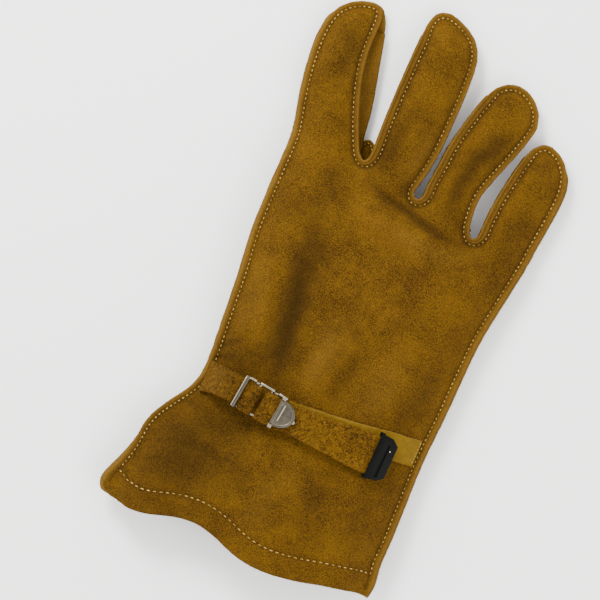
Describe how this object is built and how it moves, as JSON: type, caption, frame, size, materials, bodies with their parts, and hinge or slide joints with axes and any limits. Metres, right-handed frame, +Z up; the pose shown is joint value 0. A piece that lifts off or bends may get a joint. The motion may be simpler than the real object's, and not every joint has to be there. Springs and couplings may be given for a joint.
{
  "type": "firefighter glove",
  "caption": "Gauntlet work glove in split cowhide for a right hand, lying palm down, with welted seams, finger side walls and a buckled wrist strap.",
  "frame": {"origin": "middle of the glove's footprint, on the surface that it lies on", "axes": "+X towards the little-finger side, +Y from the cuff to the fingertips, +Z up, out of the back of the hand"},
  "size_m": [0.1634, 0.294, 0.0332],
  "materials": {
    "suede": "napped split cowhide, golden brown",
    "smooth_leather": "smooth split strap leather, tan",
    "raw_edge": "cut edge of the welt, pale and fibrous",
    "buckle_steel": "nickel-plated stamped steel, satin",
    "keeper_black": "black enamel, satin"
  },
  "bodies": {
    "root": {"back_panel": "suede", "palm_panel": "suede", "middle_finger_front": "suede", "ring_finger_front": "suede", "fork_index_middle": "suede", "fork_middle_ring": "suede", "fork_ring_little": "suede", "index_side_welt": "raw_edge", "little_side_welt": "raw_edge", "thumb_back": "suede", "thumb_front": "suede", "buckle_tab": "suede", "pull_strap": "smooth_leather", "buckle_frame": "buckle_steel", "buckle_plate": "buckle_steel", "strap_keeper": "keeper_black"}
  },
  "joints": []
}
